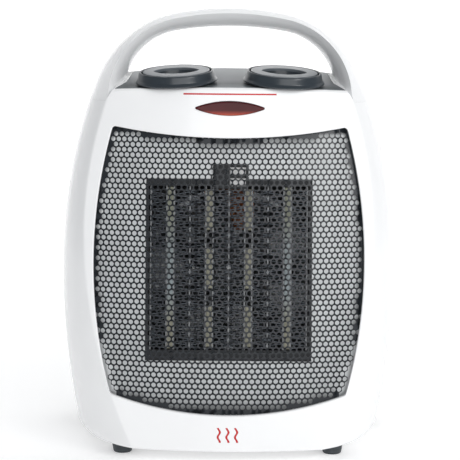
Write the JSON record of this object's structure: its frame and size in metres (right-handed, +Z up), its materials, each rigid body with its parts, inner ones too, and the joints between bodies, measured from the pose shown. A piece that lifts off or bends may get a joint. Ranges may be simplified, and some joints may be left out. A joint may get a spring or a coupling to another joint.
{
  "type": "ceramic space heater",
  "caption": "Desktop ceramic fan heater with a bowed perforated front grille, fixed arched carrying handle and sloping top panel with turning knobs.",
  "frame": {"origin": "on the floor, under the middle of the overall box", "axes": "+Z up, the grille faces -Y, +X to the right seen from the front"},
  "size_m": [0.195, 0.15, 0.254],
  "materials": {
    "white_shell": "glossy white moulded body",
    "intake_white": "satin white moulding",
    "grey_panel": "satin mid grey, finely grained",
    "black_steel": "satin black powder coat",
    "baffle_grey": "light grey plated sheet",
    "red_lens": "translucent dark red",
    "lamp_glass": "clear neon bulb",
    "ivory_plastic": "natural nylon",
    "knob_dark": "glossy charcoal",
    "ring_grey": "satin light grey",
    "switch_black": "black phenolic",
    "ceramic_beige": "beige moulding compound",
    "ceramic_white": "white glazed ceramic",
    "plated_steel": "zinc plated",
    "frame_black": "dark heat-resistant plastic",
    "stone_beige": "beige ceramic",
    "element_aluminium": "dull aluminium",
    "fin_aluminium": "darkened aluminium foil",
    "fan_grey": "grey heat-resistant plastic",
    "rotor_steel": "cast aluminium and steel",
    "lamination_steel": "varnished laminations",
    "copper_coil": "taped enamelled winding",
    "zinc_bracket": "zinc plated",
    "bronze": "oil-impregnated bronze",
    "bush_black": "black flexible moulding",
    "foot_rubber": "dark grey rubber"
  },
  "bodies": {
    "housing": {"front_housing": "white_shell", "rear_housing": "white_shell", "control_panel": "grey_panel", "front_grille": "black_steel", "baffle_panel": "baffle_grey", "indicator_lens": "red_lens", "indicator_lamp": "lamp_glass", "lamp_holder": "ivory_plastic", "mode_switch": "switch_black", "thermostat": "ceramic_beige", "control_screws": "plated_steel", "element_frame": "frame_black", "ptc_stones": "stone_beige", "electrode_plates": "element_aluminium", "element_fins": "fin_aluminium", "element_separators": "element_aluminium", "thermal_cutout": "ceramic_white", "cutout_bracket": "frame_black", "duct_shroud": "frame_black", "motor_stator": "lamination_steel", "motor_coil": "copper_coil", "front_bearing_bracket": "zinc_bracket", "rear_bearing_bracket": "zinc_bracket", "bearing_bushes": "bronze", "motor_screws": "plated_steel", "rear_intake_grille": "intake_white", "tip_switch": "switch_black", "tip_spring": "plated_steel", "terminal_block": "ceramic_beige", "cord_inlet_bush": "bush_black", "housing_screws": "plated_steel", "rubber_feet": "foot_rubber"},
    "mode_knob": {"mode_knob": "knob_dark", "mode_knob_ring": "ring_grey", "mode_spindle": "ivory_plastic"},
    "thermostat_knob": {"thermostat_knob": "knob_dark", "thermostat_knob_ring": "ring_grey", "thermostat_spindle": "ivory_plastic"},
    "fan_rotor": {"fan_impeller": "fan_grey", "motor_shaft": "plated_steel", "motor_rotor": "rotor_steel"},
    "tip_plunger": {"tip_plunger": "ivory_plastic"}
  },
  "joints": [
    {"name": "mode_knob_turn", "type": "hinge", "parent": "housing", "child": "mode_knob", "pos_m": [-0.0305, -0.02721, 0.21037], "axis": [-0.0436, -0.1632, 0.9856], "range_deg": [0, 270]},
    {"name": "thermostat_knob_turn", "type": "hinge", "parent": "housing", "child": "thermostat_knob", "pos_m": [0.0305, -0.02721, 0.21037], "axis": [0.0436, -0.1632, 0.9856], "range_deg": [0, 300]},
    {"name": "fan_spin", "type": "hinge", "parent": "housing", "child": "fan_rotor", "pos_m": [0, -0.046, 0.105], "axis": [0, 0.9925, -0.1219], "continuous": true},
    {"name": "tip_press", "type": "slide", "parent": "housing", "child": "tip_plunger", "axis": [0, 0, -1], "range_m": [0, 0.004], "stiffness_N_per_m": 60, "springref_m": 0.008, "deforming": ["tip_spring"]}
  ]
}
